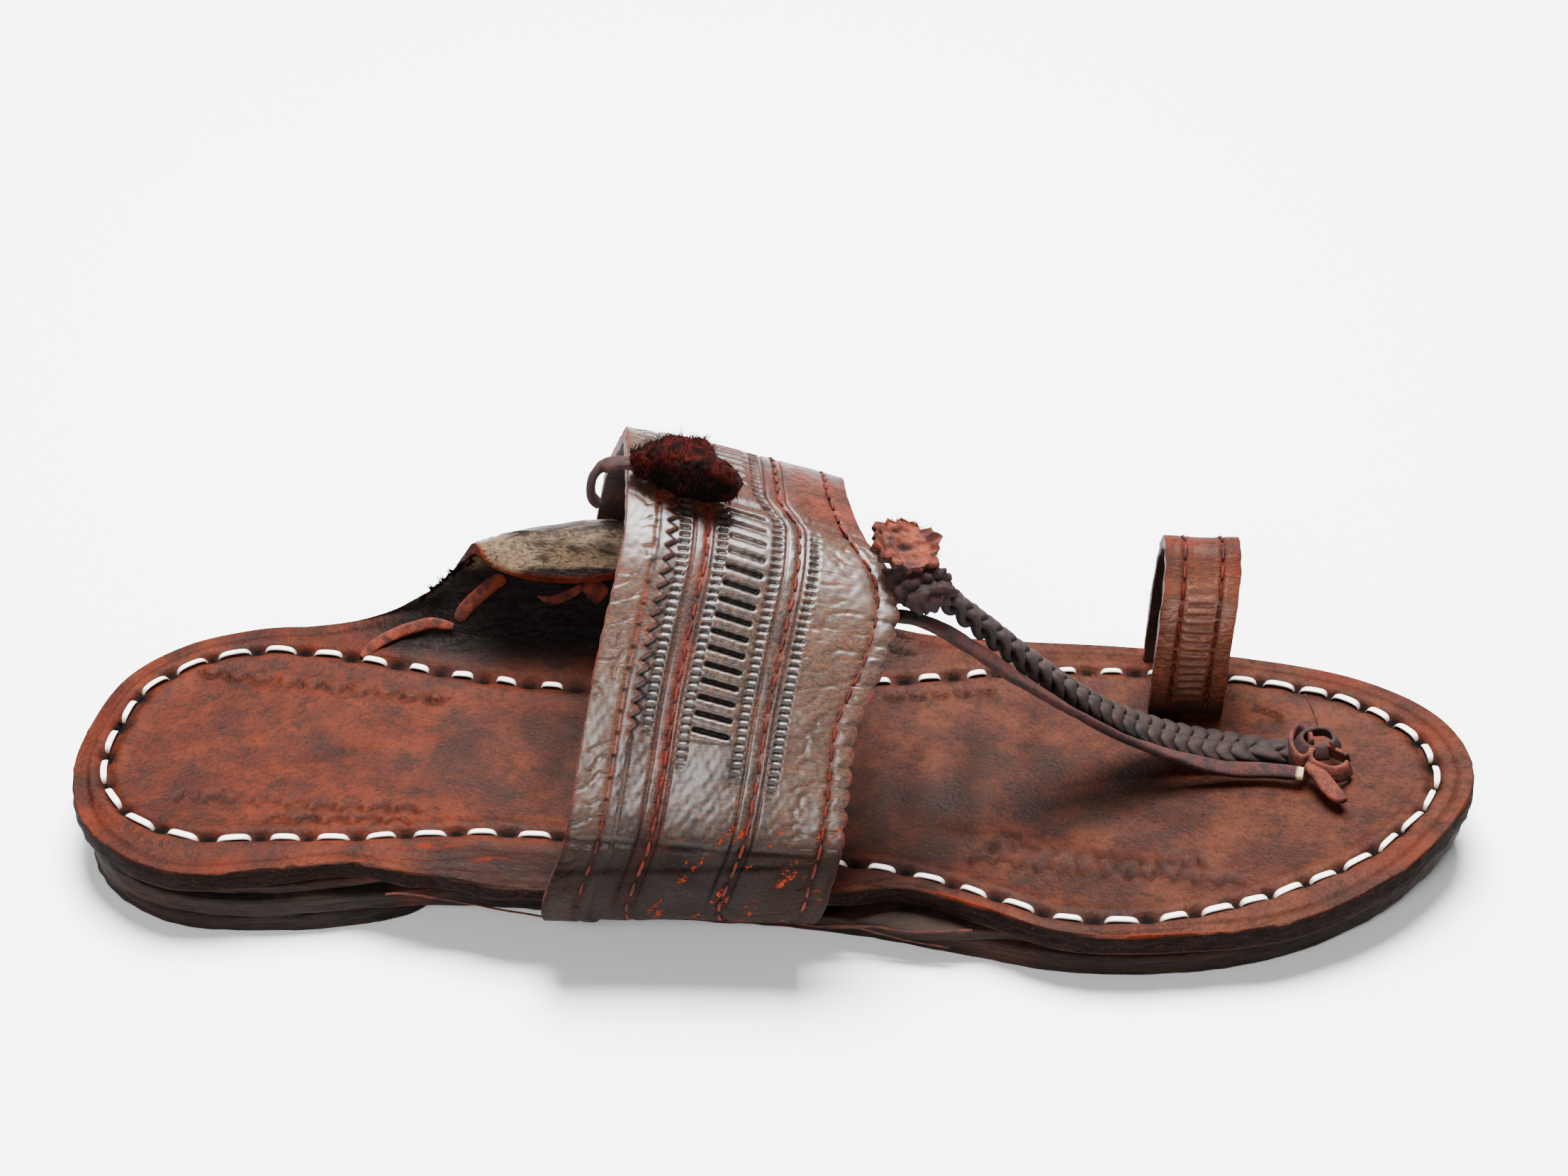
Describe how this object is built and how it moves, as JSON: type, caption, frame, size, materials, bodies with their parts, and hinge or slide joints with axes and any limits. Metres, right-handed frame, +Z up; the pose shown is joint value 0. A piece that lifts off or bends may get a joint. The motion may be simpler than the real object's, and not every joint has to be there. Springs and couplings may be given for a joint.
{
  "type": "kolhapuri sandal",
  "caption": "Flat leather sandal with a broad instep strap over two side wings, a toe loop, and a braid from the strap to a knot at the toe.",
  "frame": {"origin": "on the floor, below the middle of the sandal's box", "axes": "+X towards the toe, +Y towards the big-toe side, +Z up"},
  "size_m": [0.2624, 0.094, 0.0826],
  "materials": {
    "seat_leather": "worn, polished by use, stamped",
    "sole_leather": "rough cut edges, dull",
    "strap_leather": "pebbled, oiled, cracked at the bends",
    "raw_leather": "raw, torn, fibrous",
    "thong_leather": "dark, fuzzy, dull",
    "white_strip": "white, flat, slightly soiled"
  },
  "bodies": {
    "root": {"outsole": "sole_leather", "midsole": "sole_leather", "heel_lift": "sole_leather", "insole": "seat_leather", "instep_strap": "strap_leather", "toe_loop": "strap_leather", "braid": "strap_leather", "toe_thong": "thong_leather", "toe_knot": "raw_leather", "rosette_knot": "thong_leather", "rosette": "raw_leather", "tuft": "thong_leather", "tuft_thong": "thong_leather"}
  },
  "joints": []
}
